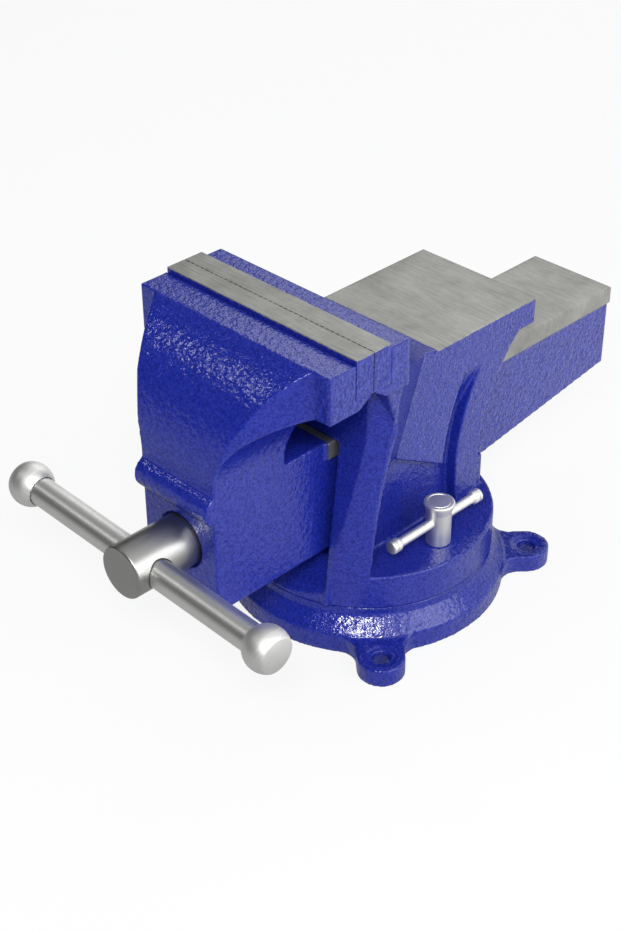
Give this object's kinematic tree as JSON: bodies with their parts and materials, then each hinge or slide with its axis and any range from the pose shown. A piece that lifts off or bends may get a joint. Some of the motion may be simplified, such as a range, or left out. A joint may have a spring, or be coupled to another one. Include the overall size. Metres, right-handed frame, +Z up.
{
  "type": "swivel bench vise",
  "caption": "Heavy cast bench vise with a swivel base, wide plated jaws, an anvil, a long slide and a sliding cross handle, painted blue.",
  "frame": {"origin": "centre of the bench bolt circle on the base's underside, on the swivel axis", "axes": "+Z up along the swivel axis, -Y towards the handle, +Y along the slide to the rear, +X to the right seen from the handle"},
  "size_m": [0.216, 0.393, 0.221],
  "materials": {
    "blue_paint": "glossy textured enamel on cast iron",
    "machined_steel": "ground",
    "satin_steel": "turned, satin",
    "dark_steel": "oiled black",
    "bare_iron": "bare casting"
  },
  "bodies": {
    "base": {"swivel_base": "blue_paint", "pivot_bolt": "dark_steel", "pivot_washer": "dark_steel", "pivot_nut": "dark_steel"},
    "body": {"fixed_jaw_body": "blue_paint", "fixed_jaw_plate": "machined_steel", "fixed_plate_screws": "dark_steel", "screw_nut": "bare_iron", "nut_bolts": "dark_steel", "lock_shoe_right": "bare_iron", "lock_shoe_left": "bare_iron"},
    "jaw": {"moving_jaw": "blue_paint", "moving_jaw_plate": "machined_steel", "moving_plate_screws": "dark_steel"},
    "spindle": {"main_screw": "satin_steel", "return_spring": "dark_steel", "spring_washer": "satin_steel", "split_pin": "dark_steel"},
    "handle": {"handle_bar": "satin_steel", "handle_ball_left": "satin_steel", "handle_ball_right": "satin_steel"},
    "lock_right": {"lock_bolt_right": "satin_steel"},
    "lock_left": {"lock_bolt_left": "satin_steel"},
    "bar_right": {"lock_bar_right": "satin_steel"},
    "bar_left": {"lock_bar_left": "satin_steel"}
  },
  "joints": [
    {"name": "swivel", "type": "hinge", "parent": "base", "child": "body", "pos_m": [0, 0, 0.028], "axis": [0, 0, 1], "continuous": true},
    {"name": "jaw_slide", "type": "slide", "parent": "body", "child": "jaw", "axis": [0, -1, 0], "range_m": [0, 0.15]},
    {"name": "screw_turn", "type": "hinge", "parent": "jaw", "child": "spindle", "pos_m": [0, 0, 0.1], "axis": [0, -1, 0], "range_deg": [0, 10800]},
    {"name": "handle_slide", "type": "slide", "parent": "spindle", "child": "handle", "axis": [0.9993, 0, -0.0384], "range_m": [-0.069, 0.069]},
    {"name": "lock_turn_right", "type": "hinge", "parent": "body", "child": "lock_right", "pos_m": [0.0605, 0, 0.06], "axis": [0, 0, 1], "range_deg": [-13, 9]},
    {"name": "lock_turn_left", "type": "hinge", "parent": "body", "child": "lock_left", "pos_m": [-0.0605, 0, 0.06], "axis": [0, 0, 1], "range_deg": [-9, 13]},
    {"name": "lock_bar_slide_right", "type": "slide", "parent": "lock_right", "child": "bar_right", "axis": [0, 1, 0], "range_m": [0, 0.018]},
    {"name": "lock_bar_slide_left", "type": "slide", "parent": "lock_left", "child": "bar_left", "axis": [0, 1, 0], "range_m": [-0.018, 0]}
  ],
  "couplings": [
    {"joint": "screw_turn", "follows": "jaw_slide", "rad_per_m": 1256.6}
  ]
}
